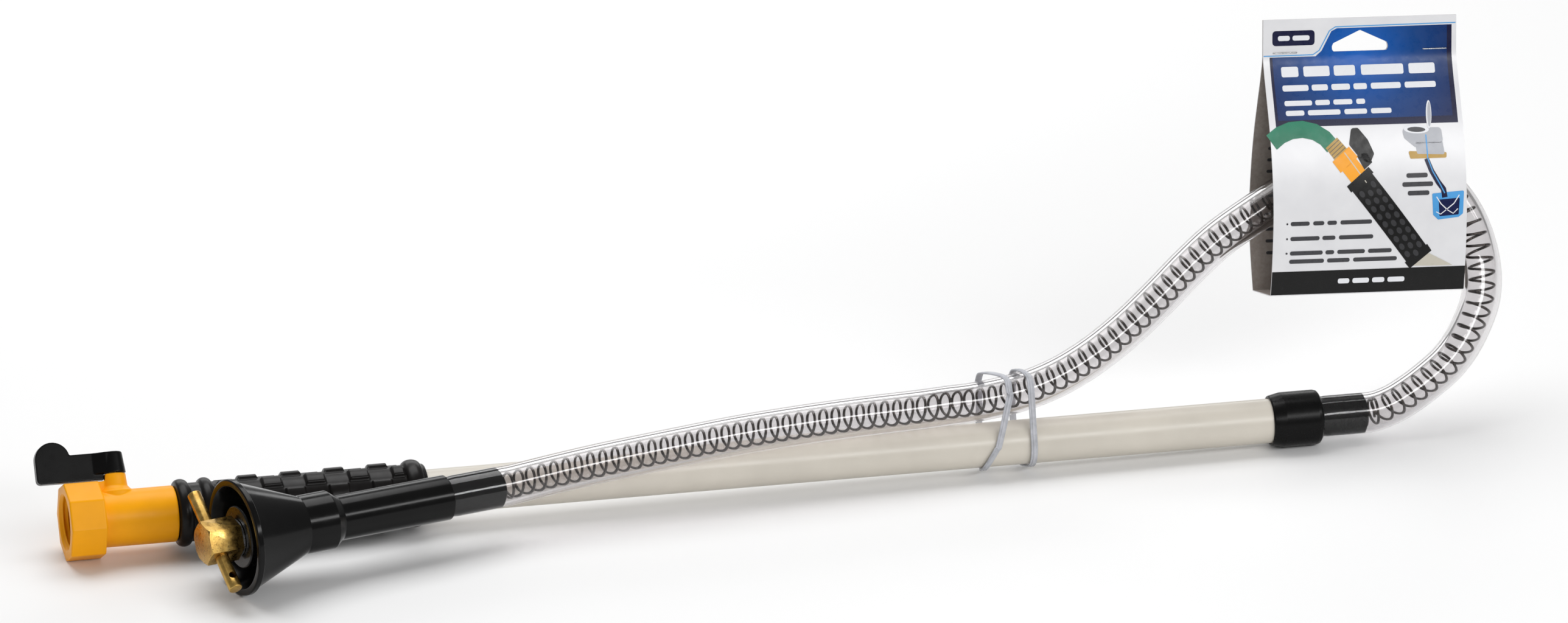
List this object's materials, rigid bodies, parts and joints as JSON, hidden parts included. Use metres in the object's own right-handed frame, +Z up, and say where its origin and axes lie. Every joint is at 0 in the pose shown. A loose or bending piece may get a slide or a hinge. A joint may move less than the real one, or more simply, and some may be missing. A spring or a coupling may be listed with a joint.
{
  "type": "tank rinsing wand",
  "caption": "Rigid pipe with a quarter-turn inlet valve and rubber grip, a spring-lined clear hose looped back along it, and a flared nozzle with a spinning cross-arm rotor.",
  "frame": {"origin": "under the middle of the bounding box of everything but the hose and its spring, on the floor that the wand lies on", "axes": "+X along the rigid pipe from the inlet to the far end, +Y to the side that the hose loops over, +Z up"},
  "size_m": [0.7176, 0.147, 0.1971],
  "materials": {
    "yellow": "moulded, semi-matte warm yellow",
    "lever": "moulded, glossy black",
    "nozzle": "moulded, smooth glossy black",
    "grip": "soft black rubber, slightly brown where light grazes it",
    "seal": "smooth black rubber",
    "pipe": "extruded, smooth cream",
    "seat": "moulded, smooth white",
    "hose": "clear flexible vinyl, glossy",
    "tie": "translucent pale grey vinyl strap",
    "spring": "drawn steel wire",
    "brass": "turned and milled, satin",
    "card": "printed and coated outside, plain brownish grey inside"
  },
  "bodies": {
    "wand": {"valve_body": "yellow", "inlet_washer": "seal", "front_ball_seat": "seat", "rear_ball_seat": "seat", "seat_retainer": "seat", "rigid_pipe": "pipe", "handle_grip": "grip", "hose_coupling": "lever", "flexible_hose": "hose", "hose_spring": "spring", "nozzle_body": "nozzle", "rotor_bushing": "nozzle", "thrust_washer": "spring", "tie_turn_left": "tie", "tie_turn_right": "tie"},
    "valve_control": {"valve_lever": "lever", "valve_stem": "brass", "valve_ball": "seat", "lower_stem_seal": "seal", "upper_stem_seal": "seal"},
    "spray_rotor": {"rotor_hub": "brass", "spray_arm": "brass", "rotor_clip": "spring"},
    "card": {"header_card": "card", "staple_left": "spring", "staple_right": "spring"}
  },
  "joints": [
    {"name": "valve_turn", "type": "hinge", "parent": "wand", "child": "valve_control", "pos_m": [-0.316, 0.0106, 0.01865], "axis": [0.008, 0.515, 0.8571], "range_deg": [-90, 0]},
    {"name": "rotor_spin", "type": "hinge", "parent": "wand", "child": "spray_rotor", "pos_m": [-0.272, -0.0466, 0.02777], "axis": [0.9711, 0.2385, -0.0082], "continuous": true},
    {"name": "card_swing", "type": "hinge", "parent": "wand", "child": "card", "pos_m": [0.3011, 0.0514, 0.125], "axis": [0.9937, 0.0704, -0.0875], "range_deg": [-5, 5]}
  ]
}
